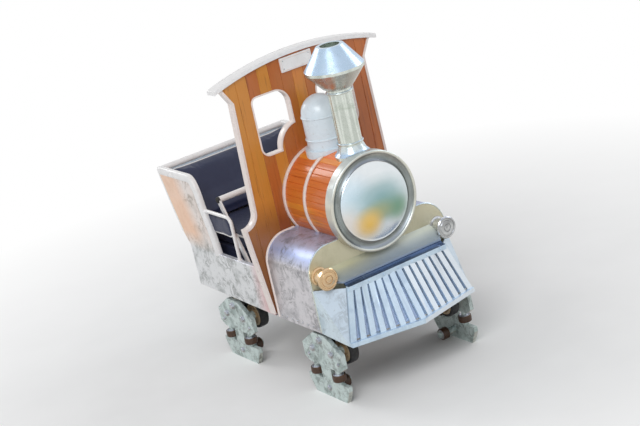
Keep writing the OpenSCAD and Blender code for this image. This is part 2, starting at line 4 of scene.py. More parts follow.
import bmesh
import bpy
from mathutils import Matrix, Vector, noise
from mathutils.bvhtree import BVHTree

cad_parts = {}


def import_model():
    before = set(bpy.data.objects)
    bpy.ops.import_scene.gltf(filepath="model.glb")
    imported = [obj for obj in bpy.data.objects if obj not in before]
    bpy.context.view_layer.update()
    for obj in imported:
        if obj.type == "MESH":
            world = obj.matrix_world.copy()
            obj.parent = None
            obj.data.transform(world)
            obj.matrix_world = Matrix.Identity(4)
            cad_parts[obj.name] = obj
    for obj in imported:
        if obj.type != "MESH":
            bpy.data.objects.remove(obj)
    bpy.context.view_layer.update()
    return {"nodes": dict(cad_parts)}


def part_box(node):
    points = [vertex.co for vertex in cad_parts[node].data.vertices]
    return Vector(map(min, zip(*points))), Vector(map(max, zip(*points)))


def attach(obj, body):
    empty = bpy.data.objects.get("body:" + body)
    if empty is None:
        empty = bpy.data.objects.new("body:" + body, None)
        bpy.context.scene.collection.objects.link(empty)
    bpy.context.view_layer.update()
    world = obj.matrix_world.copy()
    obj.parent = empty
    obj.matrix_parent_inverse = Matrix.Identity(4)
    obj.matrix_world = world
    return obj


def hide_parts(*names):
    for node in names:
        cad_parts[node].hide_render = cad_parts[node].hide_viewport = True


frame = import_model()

NODES = frame["nodes"]
BODY = "car_body"
CORNERS = ("fl", "fr", "rl", "rr")
# Corners of a CAD solid that lie closer than this are one
WELD = 0.00005


# Materials
class Material:
    """A Principled material, with short calls for the nodes that feed it."""

    def __init__(self, name, **fixed):
        self.data = bpy.data.materials.new(name)
        self.data.use_nodes = True
        self.nodes = self.data.node_tree.nodes
        self.links = self.data.node_tree.links
        self.shader = self.nodes["Principled BSDF"]
        self.place = self.nodes.new("ShaderNodeTexCoord").outputs["Object"]
        for key, value in fixed.items():
            self.shader.inputs[key.replace("_", " ")].default_value = value

    def into(self, socket, output):
        self.links.new(output, self.shader.inputs[socket])

    def stretched(self, scale):
        node = self.nodes.new("ShaderNodeMapping")
        node.inputs["Scale"].default_value = scale
        self.links.new(self.place, node.inputs["Vector"])
        return node.outputs["Vector"]

    def noise(self, scale, detail, stretch=None, rough=0.55, bend=0.0, at=None):
        node = self.nodes.new("ShaderNodeTexNoise")
        node.inputs["Scale"].default_value = scale
        node.inputs["Detail"].default_value = detail
        node.inputs["Roughness"].default_value = rough
        node.inputs["Distortion"].default_value = bend
        self.links.new(at or (self.stretched(stretch) if stretch else self.place), node.inputs["Vector"])
        return node.outputs["Fac"]

    def cells(self, scale):
        node = self.nodes.new("ShaderNodeTexVoronoi")
        node.inputs["Scale"].default_value = scale
        self.links.new(self.place, node.inputs["Vector"])
        return node.outputs["Distance"]

    def ramp(self, value, *stops):
        node = self.nodes.new("ShaderNodeValToRGB")
        points = node.color_ramp.elements
        while len(points) < len(stops):
            points.new(0.5)
        for point, (at, colour) in zip(points, stops):
            point.position = at
            point.color = (*colour, 1) if isinstance(colour, tuple) else (colour, colour, colour, 1)
        self.links.new(value, node.inputs["Fac"])
        return node.outputs["Color"]

    def mix(self, share, a, b, blend="MIX"):
        node = self.nodes.new("ShaderNodeMix")
        node.data_type = "RGBA"
        node.blend_type = blend
        for socket, value in ((node.inputs["Factor"], share), (node.inputs["A"], a), (node.inputs["B"], b)):
            if isinstance(value, bpy.types.NodeSocket):
                self.links.new(value, socket)
            elif isinstance(value, tuple):
                socket.default_value = (*value, 1)
            else:
                socket.default_value = value
        return node.outputs["Result"]

    def scaled(self, value, low, high, out_low=0.0, out_high=1.0):
        node = self.nodes.new("ShaderNodeMapRange")
        limits = {"From Min": low, "From Max": high, "To Min": out_low, "To Max": out_high}
        for key, number in limits.items():
            node.inputs[key].default_value = number
        self.links.new(value, node.inputs["Value"])
        return node.outputs["Result"]

    def distance(self, point, stretch):
        """Distance from a point, both stretched along the axes."""
        node = self.nodes.new("ShaderNodeVectorMath")
        node.operation = "DISTANCE"
        node.inputs[1].default_value = [a * b for a, b in zip(point, stretch)]
        self.links.new(self.stretched(stretch), node.inputs[0])
        return node.outputs["Value"]

    def along(self, direction):
        """How far the place lies along a direction."""
        node = self.nodes.new("ShaderNodeVectorMath")
        node.operation = "DOT_PRODUCT"
        node.inputs[1].default_value = direction
        self.links.new(self.place, node.inputs[0])
        return node.outputs["Value"]

    def axis(self, source, name):
        node = self.nodes.new("ShaderNodeSeparateXYZ")
        self.links.new(source, node.inputs["Vector"])
        return node.outputs[name]

    def facing(self, name):
        """How far the surface faces along an axis of the row frame, from -1 to 1."""
        return self.axis(self.nodes.new("ShaderNodeNewGeometry").outputs["Normal"], name)

    def bump(self, height, strength, distance, under=None):
        node = self.nodes.new("ShaderNodeBump")
        node.inputs["Strength"].default_value = strength
        node.inputs["Distance"].default_value = distance
        self.links.new(height, node.inputs["Height"])
        if under:
            self.links.new(under, node.inputs["Normal"])
        return node.outputs["Normal"]

    def tone(self):
        """The tone of the board or strip that the face belongs to."""
        node = self.nodes.new("ShaderNodeAttribute")
        node.attribute_name = "tone"
        return node.outputs["Fac"]


# Colours painted on steel as reflections: of the sky where it faces up, of the ground where it faces down
SKY_REFLECTION = (0.44, 0.53, 0.83)
CYAN = (0.50, 0.64, 0.74)
POLE = (0.42, 0.58, 0.80)
GROUND_REFLECTION = (0.50, 0.42, 0.34)


def steel(name, light, mid, dark, sky, reflection_shade_streaks_and_specks, tint=SKY_REFLECTION, mottle=7.0, reflection_bands=0.5, dull=(0.14, 0.3),
          wave=0.3, metal=0.9):
    """Polished sheet steel with painted reflections: smeared, cloudy patches of tone, broken dark streaks of
    foliage, the sky where it faces up, the ground below and rings of darker tone on curved places. Its fine
    dark specks are stains."""
    m = Material(name, Metallic=metal)
    normal = m.nodes.new("ShaderNodeNewGeometry").outputs["Normal"]
    # Painted reflections: smeared, cloudy patches of light and mid tone
    reflection_clouds = m.noise(mottle, 5.0, rough=0.6, bend=0.6)
    base = m.ramp(reflection_clouds, (0.36, mid), (0.5, light), (0.62, light), (0.74, mid))
    # Painted reflections: rings of darker tone that follow the way the surface faces
    reflection_band = m.ramp(m.noise(1.8, 1.0, at=normal), (0.34, reflection_bands), (0.47, 0.0), (0.55, 0.0), (0.66, reflection_bands))
    base = m.mix(reflection_band, base, tuple(0.55 * c for c in mid))
    # Painted reflections: the ground where the surface faces down, the sky where it faces up
    up = m.scaled(m.facing("Z"), -1.0, 1.0)
    base = m.mix(m.ramp(up, (0.1, 0.8), (0.42, 0.0)), base, GROUND_REFLECTION)
    base = m.mix(m.ramp(up, (0.6, 0.0), (0.82, sky), (0.97, 0.7 * sky)), base, tint)
    # Painted reflections of dark foliage, broken into streaks; the fine specks after them are stains
    reflection_swirl = m.noise(1.9 * mottle, 5.0, rough=0.65, bend=0.9)
    reflection_streaks = m.ramp(reflection_swirl, (0.42, 0.0), (0.5, 0.8 * reflection_shade_streaks_and_specks), (0.58, 0.0))
    broken = m.ramp(m.noise(1.6 * mottle, 5.0, rough=0.6), (0.44, 0.0), (0.6, 1.0))
    base = m.mix(m.mix(1.0, reflection_streaks, broken, "MULTIPLY"), base, dark)
    specks = m.ramp(m.noise(60.0, 6.0, rough=0.7, bend=0.4), (0.6, 0.0), (0.68, 0.7 * reflection_shade_streaks_and_specks))
    m.into("Base Color", m.mix(specks, base, dark))
    m.into("Roughness", m.scaled(m.noise(22.0, 5.0), 0.3, 0.7, *dull))
    dents = m.bump(m.noise(4.5, 1.0), wave, 0.012)
    m.into("Normal", m.bump(m.noise(160.0, 3.0, stretch=(0.15, 1, 1)), 0.04, 0.001, dents))
    return m


def tinted(m, share, colour):
    """Mixes a colour over what feeds the material's base colour."""
    m.into("Base Color", m.mix(share, m.shader.inputs["Base Color"].links[0].from_socket, colour))
    return m


def sheet_steel(name):
    """The fairing's sheet, with a painted khaki reflection where it faces forward."""
    m = steel(name, (0.68, 0.66, 0.68), (0.48, 0.47, 0.49), (0.10, 0.10, 0.11),
              sky=0.95, reflection_shade_streaks_and_specks=0.75, dull=(0.36, 0.5), metal=0.5)
    # Painted reflection: khaki on faces turned forward
    return tinted(m, m.ramp(m.facing("X"), (0.6, 0.0), (0.9, 0.8)), (0.62, 0.58, 0.38))


# How far the wing's rear edge leans back with each metre of height
WING_LEAN = 0.40


def wing_steel(name):
    """The side panels: peach along the wing's rear edge, mottled steel elsewhere, rosy beside the cab."""
    m = steel(name, (0.74, 0.75, 0.76), (0.50, 0.52, 0.52), (0.08, 0.09, 0.08),
              sky=0.3, reflection_shade_streaks_and_specks=0.8, dull=(0.32, 0.46), metal=0.5)
    m = tinted(m, m.ramp(m.axis(m.place, "X"), (0.0, 0.0), (0.12, 0.7)), (0.76, 0.44, 0.43))
    high = m.ramp(m.axis(m.place, "Z"), (0.68, 0.0), (0.79, 0.9), (0.98, 0.85), (1.0, 0.8))
    from_edge = m.ramp(m.scaled(m.along((1, 0, WING_LEAN)), -0.44, 0.0), (0.35, 1.0), (0.62, 0.3))
    return tinted(m, m.mix(1.0, high, from_edge, "MULTIPLY"), (0.84, 0.55, 0.38))


def shelf_steel(name):
    """The nose shelf: painted reflections, khaki on the right and bluish on the left, and painted shade in
    slate blue near its lip.
    """
    m = steel(name, (0.66, 0.61, 0.34), (0.56, 0.52, 0.29), (0.25, 0.27, 0.22),
              sky=0.3, tint=CYAN, reflection_shade_streaks_and_specks=0.15, reflection_bands=0.2, dull=(0.3, 0.44), metal=0.3)
    lo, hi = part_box("nose_shelf")
    # Painted reflections: khaki and bluish across the shelf
    across = m.scaled(m.axis(m.place, "Y"), lo.y, hi.y)
    m = tinted(m, m.ramp(across, (0.25, 0.0), (0.55, 0.75), (0.9, 0.5)), (0.60, 0.68, 0.70))
    # Painted shade: slate blue low on the shelf, by the recess at its lip
    rise = m.scaled(m.axis(m.place, "Z"), lo.z, lo.z + 0.05)
    return tinted(m, m.ramp(rise, (0.05, 0.9), (0.5, 0.5), (1.0, 0.0)), (0.22, 0.31, 0.47))


def wood(name, along, bright, deep, low=None):
    """Varnished softwood with its grain along one axis, each board in its own tone, darker below low."""
    m = Material(name, Coat_Weight=0.45, Coat_Roughness=0.12, Coat_IOR=1.45)
    stretch = tuple(0.06 if axis == along else 1.0 for axis in "XYZ")
    grain = m.noise(38.0, 7.0, stretch=stretch, rough=0.62, bend=0.8)
    colour = m.ramp(grain, (0.3, deep), (0.47, bright), (0.62, bright), (0.78, deep))
    broad = m.noise(3.2, 2.0, stretch=tuple(0.5 if axis == along else 1.0 for axis in "XYZ"))
    red = (1.05 * bright[0], 0.72 * bright[1], 0.8 * bright[2])
    ochre = (0.9 * bright[0], 1.35 * bright[1], 0.9 * bright[2])
    colour = m.mix(m.ramp(broad, (0.34, 0.7), (0.46, 0.0)), colour, red)
    colour = m.mix(m.ramp(broad, (0.54, 0.0), (0.66, 0.7)), colour, ochre)
    colour = m.mix(m.ramp(m.tone(), (0.0, 0.0), (0.5, 0.0), (1.0, 0.7)), colour, ochre)
    colour = m.mix(m.ramp(m.tone(), (0.0, 0.6), (0.45, 0.0)), colour, deep)
    streaks = m.ramp(m.noise(90.0, 3.0, stretch=stretch), (0.62, 0.0), (0.7, 0.5))
    colour = m.mix(streaks, colour, tuple(0.45 * c for c in deep))
    if low:
        height = m.scaled(m.axis(m.place, "Z"), low - 0.45, low + 0.15)
        foot = m.ramp(height, (0.0, 0.92), (0.5, 0.75), (0.75, 0.55), (1.0, 0.0))
        colour = m.mix(foot, colour, tuple(0.45 * c for c in deep))
    m.into("Base Color", colour)
    m.into("Roughness", m.scaled(grain, 0.3, 0.7, 0.32, 0.5))
    m.into("Normal", m.bump(m.noise(120.0, 4.0, stretch=stretch), 0.12, 0.0012))
    return m


def gloss_paint(name, colour, grime, metal=0.0, dull=(0.22, 0.42)):
    """Sprayed paint with orange peel and a little grime, in clouds and spots."""
    m = Material(name, Metallic=metal, Coat_Weight=0.3, Coat_Roughness=0.12)
    cloud = m.ramp(m.noise(7.0, 6.0, rough=0.65), (0.45, 0.0), (0.75, 0.4))
    spots = m.ramp(m.noise(48.0, 6.0, rough=0.75), (0.58, 0.0), (0.7, 0.6))
    base = m.mix(cloud, colour, tuple(0.5 * (a + b) for a, b in zip(colour, grime)))
    m.into("Base Color", m.mix(spots, base, grime))
    m.into("Roughness", m.scaled(m.noise(15.0, 4.0), 0.3, 0.7, *dull))
    m.into("Normal", m.bump(m.noise(260.0, 2.0), 0.05, 0.0008))
    return m


def vinyl(name):
    """Navy seat vinyl with a fine leather grain and rubbed, paler patches."""
    m = Material(name, Sheen_Weight=0.12, Sheen_Roughness=0.4, Specular_IOR_Level=0.45)
    rub = m.ramp(m.noise(5.0, 5.0, rough=0.6), (0.42, 0.0), (0.75, 0.6))
    m.into("Base Color", m.mix(rub, (0.011, 0.017, 0.052), (0.028, 0.036, 0.085)))
    m.into("Roughness", m.scaled(m.noise(30.0, 4.0), 0.3, 0.7, 0.36, 0.52))
    pores = m.bump(m.cells(420.0), 0.22, 0.0012)
    m.into("Normal", m.bump(m.noise(14.0, 3.0), 0.12, 0.006, pores))
    return m


def rubber(name, colour, dust, dull=(0.45, 0.7)):
    """Polyurethane or rubber with dust rubbed into it."""
    m = Material(name, Specular_IOR_Level=0.4)
    worn = m.ramp(m.noise(26.0, 6.0, rough=0.7), (0.45, 0.0), (0.75, 0.7))
    m.into("Base Color", m.mix(worn, colour, dust))
    m.into("Roughness", m.scaled(m.noise(40.0, 4.0), 0.3, 0.7, *dull))
    m.into("Normal", m.bump(m.noise(220.0, 3.0), 0.1, 0.0008))
    return m


# Painted reflections on the smokebox door's mirror: place from its middle and reach, both as (across, up),
# then the share at the reflection's middle and the colour
DOOR_REFLECTIONS = (
    ((-0.150, 0.070), (0.16, 0.16), 0.7, (0.58, 0.76, 0.88)),
    ((-0.185, -0.080), (0.13, 0.15), 0.65, (0.80, 0.70, 0.60)),
    ((0.020, 0.030), (0.24, 0.13), 0.95, (0.27, 0.43, 0.45)),
    ((0.060, -0.045), (0.21, 0.10), 0.9, (0.20, 0.36, 0.30)),
    ((0.130, -0.085), (0.11, 0.09), 0.75, (0.16, 0.33, 0.19)),
    ((-0.030, -0.055), (0.15, 0.08), 0.7, (0.45, 0.44, 0.20)),
    ((-0.080, -0.105), (0.11, 0.11), 1.0, (0.86, 0.56, 0.16)),
)


def door_steel(name):
    """Mirror dome of the smokebox door with painted reflections: pale round its edge, grey-green inside, a
    warm amber one low down.
    """
    m = Material(name, Metallic=0.85)
    lo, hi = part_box("smokebox_door")
    middle = Vector((hi.x, 0, (lo.z + hi.z) / 2))
    ground = m.ramp(m.noise(6.0, 3.0, bend=0.6), (0.35, (0.80, 0.84, 0.86)), (0.65, (0.70, 0.75, 0.78)))
    for (y, z), (reach_y, reach_z), share, colour in DOOR_REFLECTIONS:
        far = m.distance(middle + Vector((0, y, z)), (1, 1 / reach_y, 1 / reach_z))
        shares = (0.1, share), (0.4, 0.8 * share), (0.75, 0.25 * share), (1.0, 0.0)
        ground = m.mix(m.ramp(far, *shares), ground, colour)
    m.into("Base Color", ground)
    m.into("Roughness", m.scaled(m.noise(18.0, 5.0), 0.3, 0.7, 0.16, 0.28))
    m.into("Normal", m.bump(m.noise(5.0, 1.0), 0.18, 0.01))
    return m


def slat_steel(name):
    """The pilot's slats: pale blue, and whiter, as painted light, on the half that faces left."""
    m = steel(name, (0.62, 0.76, 0.88), (0.50, 0.63, 0.76), (0.3, 0.34, 0.4),
              sky=0.2, reflection_shade_streaks_and_specks=0.2, reflection_bands=0.2, dull=(0.3, 0.44), wave=0.1, metal=0.6)
    # Painted light: whiter on faces turned to the left, as if lit
    return tinted(m, m.ramp(m.facing("Y"), (0.02, 0.0), (0.12, 0.65)), (0.84, 0.87, 0.90))


def buffer_steel(name):
    """Turned steel. The right buffer is the brassy one."""
    m = steel(name, (0.66, 0.67, 0.66), (0.45, 0.46, 0.46), (0.2, 0.2, 0.2),
              sky=0.3, mottle=12.0, reflection_shade_streaks_and_specks=0.3, reflection_bands=0.7, wave=0.1)
    side = m.ramp(m.scaled(m.axis(m.place, "Y"), -0.3, 0.3), (0.05, 0.75), (0.4, 0.0))
    return tinted(m, side, (0.74, 0.48, 0.22))


MAT = {
    "steel": sheet_steel("polished_sheet"),
    "wing": wing_steel("polished_wing"),
    "bright": steel("bright_steel", (0.70, 0.74, 0.68), (0.48, 0.54, 0.46), (0.25, 0.28, 0.25),
                    sky=0.85, tint=POLE, mottle=5.0, reflection_shade_streaks_and_specks=0.15, reflection_bands=0.4, dull=(0.2, 0.32), wave=0.1),
    "rim": steel("rim_steel", (0.70, 0.69, 0.60), (0.56, 0.57, 0.52), (0.3, 0.3, 0.28),
                 sky=0.5, tint=CYAN, mottle=5.0, reflection_shade_streaks_and_specks=0.1, reflection_bands=0.3,
                 dull=(0.27, 0.4), wave=0.1, metal=0.7),
    # Painted shade and painted reflection of dark trees: the hollow ring's dark grey-green
    "cove": steel("cove_steel", (0.30, 0.33, 0.32), (0.21, 0.23, 0.22), (0.1, 0.11, 0.11),
                  sky=0.2, mottle=5.0, reflection_shade_streaks_and_specks=0.1, reflection_bands=0.3, dull=(0.25, 0.4), wave=0.0),
    "slat": slat_steel("slat_steel"),
    "recess": steel("sheet_in_shade", (0.32, 0.41, 0.58), (0.26, 0.33, 0.48), (0.12, 0.15, 0.2),
                    sky=0.2, reflection_shade_streaks_and_specks=0.3, reflection_bands=0.2, metal=0.6),
    # A dark blue sheet that stands for painted shade in the recess under the nose shelf's lip
    "navy": steel("navy_painted_shade", (0.07, 0.13, 0.27), (0.04, 0.08, 0.18), (0.02, 0.03, 0.06),
                  sky=0.1, reflection_shade_streaks_and_specks=0.3, reflection_bands=0.2),
    "shelf": shelf_steel("shelf_steel"),
    "cheek": steel("cheek_steel", (0.64, 0.74, 0.80), (0.50, 0.60, 0.66), (0.14, 0.15, 0.16),
                   sky=0.4, reflection_shade_streaks_and_specks=0.5, dull=(0.42, 0.55), metal=0.4),
    "buffer": buffer_steel("buffer_steel"),
    "zinc": steel("zinc", (0.50, 0.51, 0.52), (0.36, 0.37, 0.38), (0.10, 0.09, 0.08),
                  sky=0.3, mottle=60.0, reflection_shade_streaks_and_specks=0.2, reflection_bands=0.3, dull=(0.4, 0.55), wave=0.0, metal=0.7),
    "door": door_steel("door_steel"),
    "boiler": wood("boiler_wood", "X", (0.80, 0.215, 0.028), (0.50, 0.105, 0.014)),
    "cab": wood("cab_wood", "Z", (0.60, 0.18, 0.03), (0.33, 0.08, 0.014), low=0.95),
    "white": gloss_paint("white_paint", (0.83, 0.82, 0.82), (0.45, 0.42, 0.40)),
    "dome": gloss_paint("dome_paint", (0.68, 0.77, 0.84), (0.48, 0.47, 0.47)),
    "trim": gloss_paint("edge_trim", (0.80, 0.71, 0.67), (0.5, 0.38, 0.33)),
    # Carrier paint: its heavy dark streaks are painted shade, and cyan on faces turned up is a painted sky
    # reflection
    "carrier": steel("carrier_paint", (0.60, 0.69, 0.67), (0.36, 0.44, 0.42), (0.06, 0.075, 0.06),
                     sky=0.2, tint=CYAN, mottle=11.0, reflection_shade_streaks_and_specks=0.85, reflection_bands=0.2,
                     dull=(0.3, 0.5), wave=0.1, metal=0.3),
    "chassis": gloss_paint("chassis_paint", (0.16, 0.17, 0.18), (0.05, 0.045, 0.04), metal=0.2),
    "vinyl": vinyl("navy_vinyl"),
    "piping": gloss_paint("white_piping", (0.78, 0.77, 0.76), (0.4, 0.38, 0.36), dull=(0.4, 0.55)),
    "black": rubber("black_rubber", (0.013, 0.013, 0.014), (0.05, 0.047, 0.043)),
    "brown": rubber("brown_polyurethane", (0.075, 0.035, 0.018), (0.035, 0.03, 0.026), dull=(0.3, 0.5)),
    "tan": gloss_paint("tan_hub", (0.47, 0.33, 0.19), (0.16, 0.12, 0.08)),
}


# Mesh helpers
def frame_along(start, direction):
    """Matrix at start whose Z axis points along direction."""
    return Matrix.Translation(start) @ Vector(direction).to_track_quat("Z", "Y").to_matrix().to_4x4()


def add_lathe(bm, profile, place, steps):
    """Turns a closed profile of (radius, height) points about the Z axis of place."""
    turn = [2 * pi * i / steps for i in range(steps)]
    rings = []
    for r, h in profile:
        if r < 1e-6:
            rings.append([bm.verts.new(place @ Vector((0, 0, h)))])
        else:
            rings.append([bm.verts.new(place @ Vector((r * cos(a), r * sin(a), h))) for a in turn])
    pairs = list(zip(rings, rings[1:]))
    if len(rings[0]) > 1 and len(rings[-1]) > 1:
        pairs.append((rings[-1], rings[0]))
    for a, b in pairs:
        for i in range(steps):
            j = (i + 1) % steps
            corners = [a[i % len(a)], a[j % len(a)], b[j % len(b)], b[i % len(b)]]
            bm.faces.new(list(dict.fromkeys(corners)))


def bead(r, z, t):
    """Profile of a round bead of radius t, at radius r and height z."""
    return [(r + t * cos(a), z + t * sin(a)) for a in [2 * pi * k / 10 for k in range(10)]]


def mirrored(profile):
    """The profile on the other side of height zero, from its last point to its first."""
    return [(r, -h) for r, h in profile[::-1]]


def add_tube(bm, points, radius, sides, closed=False, wide=1.0, first=None, boxy=1.0):
    """Tube along points. Radius is its half width along first, and wide times that across it. A boxy value
    below 1 squares its section."""
    points = [Vector(p) for p in points]
    n = len(points)
    rings = []
    side = Vector(first) if first else None
    for i, p in enumerate(points):
        before = points[i - 1] if i or closed else p
        after = points[(i + 1) % n] if i < n - 1 or closed else p
        way = (after - before).normalized()
        if side is None:
            side = way.orthogonal().normalized()
        side = (side - way * side.dot(way)).normalized()
        up = way.cross(side)
        ring = []
        for k in range(sides):
            a = 2 * pi * (k + 0.5) / sides
            c, d = (copysign(abs(t) ** boxy, t) for t in (cos(a), sin(a)))
            ring.append(bm.verts.new(p + radius * (c * side + wide * d * up)))
        rings.append(ring)
    pairs = list(zip(rings, rings[1:]))
    if closed:
        pairs.append((rings[-1], rings[0]))
    for a, b in pairs:
        for k in range(sides):
            j = (k + 1) % sides
            bm.faces.new((a[k], a[j], b[j], b[k]))
    if not closed:
        bm.faces.new(rings[0])
        bm.faces.new(rings[-1])


def add_block(bm, lo, hi, bevel):
    """Box with rounded edges."""
    size = [b - a for a, b in zip(lo, hi)]
    middle = [(a + b) / 2 for a, b in zip(lo, hi)]
    place = Matrix.Translation(middle) @ Matrix.Diagonal((*size, 1))
    made = bmesh.ops.create_cube(bm, size=1, matrix=place)
    edges = dict.fromkeys(e for v in made["verts"] for e in v.link_edges)
    bmesh.ops.bevel(bm, geom=list(edges), offset=bevel, segments=2, affect="EDGES", profile=0.6)


def add_prism(bm, start, end):
    """Solid between two outlines with as many points. Returns the faces that join them."""
    a, b = [[bm.verts.new(p) for p in outline] for outline in (start, end)]
    n = len(a)
    sides = [bm.faces.new((a[i], a[(i + 1) % n], b[(i + 1) % n], b[i])) for i in range(n)]
    bm.faces.new(a)
    bm.faces.new(b)
    return sides


def add_bolt(bm, at, direction, r):
    """Washer and six-sided head, standing on a surface."""
    place = frame_along(at, direction)
    washer = [(0, -0.001), (1.35 * r, -0.001), (1.35 * r, 0.2 * r), (0, 0.2 * r)]
    head = [(0, 0.1 * r), (r, 0.1 * r), (r, 0.72 * r), (0.84 * r, 0.86 * r), (0, 0.86 * r)]
    add_lathe(bm, washer, place, 20)
    add_lathe(bm, head, place, 6)


def add_rivet(bm, at, direction, r):
    """Low round head, standing on a surface."""
    head = [(0, -0.001), (r, -0.001), (0.92 * r, 0.3 * r), (0.6 * r, 0.6 * r), (0, 0.72 * r)]
    add_lathe(bm, head, frame_along(at, direction), 12)


def rounded(points, r, steps=6):
    """The open path with its inner corners rounded by quadratic arcs that start r before each corner."""
    points = [Vector(p) for p in points]
    out = [points[0]]
    for before, p, after in zip(points, points[1:], points[2:]):
        a = p + (before - p).normalized() * min(r, (before - p).length / 2)
        b = p + (after - p).normalized() * min(r, (after - p).length / 2)
        for i in range(steps + 1):
            t = i / steps
            out.append(a.lerp(p, t).lerp(p.lerp(b, t), t))
    out.append(points[-1])
    return out


def joined(node):
    """The CAD node's shape with its corners joined."""
    bm = bmesh.new()
    bm.from_mesh(NODES[node].data)
    bmesh.ops.remove_doubles(bm, verts=bm.verts, dist=WELD)
    return bm


def mesh_from(name, bm, sharp):
    """Mesh shaded smooth up to the sharp angle, without the normals that a CAD solid brings."""
    bmesh.ops.recalc_face_normals(bm, faces=bm.faces)
    mesh = bpy.data.meshes.new(name)
    bm.to_mesh(mesh)
    bm.free()
    kept_normals = mesh.attributes.get("custom_normal")
    if kept_normals:
        mesh.attributes.remove(kept_normals)
    mesh.polygons.foreach_set("use_smooth", [True] * len(mesh.polygons))
    mesh.set_sharp_from_angle(angle=radians(sharp))
    return mesh


def new_object(name, mesh):
    obj = bpy.data.objects.new(name, mesh)
    bpy.context.scene.collection.objects.link(obj)
    return obj


def loose_object(name, bm):
    """An object that is worked with and then removed."""
    mesh = bpy.data.meshes.new(name)
    bm.to_mesh(mesh)
    bm.free()
    return new_object(name, mesh)


def bake(obj):
    """Applies the modifiers to the mesh."""
    evaluated = obj.evaluated_get(bpy.context.evaluated_depsgraph_get())
    mesh = bpy.data.meshes.new_from_object(evaluated)
    obj.modifiers.clear()
    obj.data = mesh


def finish_piece(name, bm, material, body, replaces=(), sharp=35):
    """Makes the object, sets its material, hangs it on the body that it rides on and hides the CAD nodes that
    it replaces.
    """
    mesh = mesh_from(name, bm, sharp)
    mesh.materials.append(MAT[material].data)
    obj = new_object(name, mesh)
    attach(obj, body)
    if replaces:
        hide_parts(*replaces)


# Carried-over solids
def dress(node, material, bevel):
    """Gives a CAD node its material and, if asked, rounded edges."""
    obj = NODES[node]
    for place in obj.material_slots:
        place.material = MAT[material].data
    if not bevel:
        return
    weld = obj.modifiers.new("Weld", "WELD")
    weld.merge_threshold = WELD
    edges = obj.modifiers.new("Edges", "BEVEL")
    edges.width = bevel
    edges.segments = 2
    edges.limit_method = "ANGLE"
    edges.angle_limit = radians(38)
    edges.harden_normals = True


# Node, material and rounding of the CAD solids that stay
DRESS = (
    ("frame_rails", "chassis", 0.003), ("cross_members", "chassis", 0.0), ("floor_pan", "zinc", 0.001),
    ("front_axle", "chassis", 0.0), ("rear_axle", "chassis", 0.0), ("boiler_bands", "trim", 0.001),
    ("steam_dome", "dome", 0.0), ("fairing", "steel", 0.0),
    ("nose_shelf", "shelf", 0.0), ("nose_cheeks", "cheek", 0.0), ("pilot", "slat", 0.002),
    ("pilot_sheet", "recess", 0.0), ("cab_trim", "trim", 0.001), ("window_trims", "trim", 0.001),
    ("cab_roof", "white", 0.004), ("name_plate", "white", 0.003), ("side_panels", "wing", 0.004),
    ("seat_shell", "cheek", 0.003), ("arm_rails", "white", 0.0), ("lap_bar", "white", 0.0),
    ("bar_brackets", "chassis", 0.0), ("drawbar", "chassis", 0.0),
)


def dress_frame():
    """Dresses the CAD solids that stay."""
    for node, material, bevel in DRESS:
        dress(node, material, bevel)
    for corner in CORNERS:
        dress("carrier_" + corner, "carrier", 0.0)


# Engine
BOILER_Z = 1.040
BOILER_R = 0.270
STAVES = 44
# Radius of the smokebox's rolled rim, and the facets round the smokebox
RIM_R = 0.009
ROUND = 128


def boiler_staves():
    """Wood strips round the boiler, each with chamfered edges and its own tone."""
    lo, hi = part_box("boiler_barrel")
    depth, groove = 0.003, 0.0028
    half = pi / STAVES
    flat = half - groove / BOILER_R
    strip = [(-half, BOILER_R - depth)] + [(flat * k / 2, BOILER_R) for k in range(-2, 3)]
    turn = [(2 * half * s + da, r) for s in range(STAVES) for da, r in strip]
    ends = [[(x, r * cos(a), BOILER_Z + r * sin(a)) for a, r in turn] for x in (lo.x, hi.x)]
    bm = bmesh.new()
    tone = bm.faces.layers.float.new("tone")
    for i, face in enumerate(add_prism(bm, *ends)):
        face[tone] = noise.cell(Vector((i // len(strip) + 0.5, 3.1, 0.7)))
    finish_piece("boiler_staves", bm, "boiler", BODY, ["boiler_barrel"], 25)


def smokebox_rim(axis, x0, x1, r):
    """Outer ring from x0 to x1, rolled over at its front."""
    inner, edge, straight, back = 0.2, 0.004, 0.014, 0.03
    turn = [pi * k / 10 for k in range(11)]
    profile = [(inner, x0), (r - edge, x0), (r, x0 + edge), (r, x1 - straight)]
    profile += [(r - RIM_R + RIM_R * cos(a), x1 - RIM_R + RIM_R * sin(a)) for a in turn]
    profile += [(r - 2 * RIM_R, x1 - back), (inner, x1 - back)]
    bm = bmesh.new()
    add_lathe(bm, profile, axis, ROUND)
    finish_piece("smokebox_rim", bm, "rim", BODY, ["smokebox_ring"])


def smokebox_cove(axis, x1, outer, inner):
    """Hollow ring between the rim, whose front is at x1, and the door."""
    step, depth, back = 0.010, 0.012, 0.031
    cove = [(outer - (outer - inner) * k / 8, x1 - step - depth * sin(pi * k / 8)) for k in range(9)]
    bm = bmesh.new()
    add_lathe(bm, [(outer, x1 - back)] + cove + [(inner, x1 - back)], axis, ROUND)
    finish_piece("smokebox_cove", bm, "cove", BODY)


def door_dome(axis, x0, x1, r):
    """Bulging door from x0 to x1, with a flat lip round it."""
    lip, wall = 0.007, 0.012
    edge, bulge = r - lip, x1 - x0 - wall
    sphere_r = (edge * edge + bulge * bulge) / (2 * bulge)
    steps = 26
    dome = []
    for k in range(steps + 1):
        rho = edge * k / steps
        dome.append((rho, x1 - sphere_r + (sphere_r ** 2 - rho ** 2) ** 0.5))
    lip_x = dome[-1][1]
    rest = [(r - 0.003, lip_x + 0.0005), (r, lip_x - 0.003), (r, x0), (0, x0)]
    bm = bmesh.new()
    add_lathe(bm, dome + rest, axis, ROUND)
    finish_piece("door_dome", bm, "door", BODY, ["smokebox_door"])


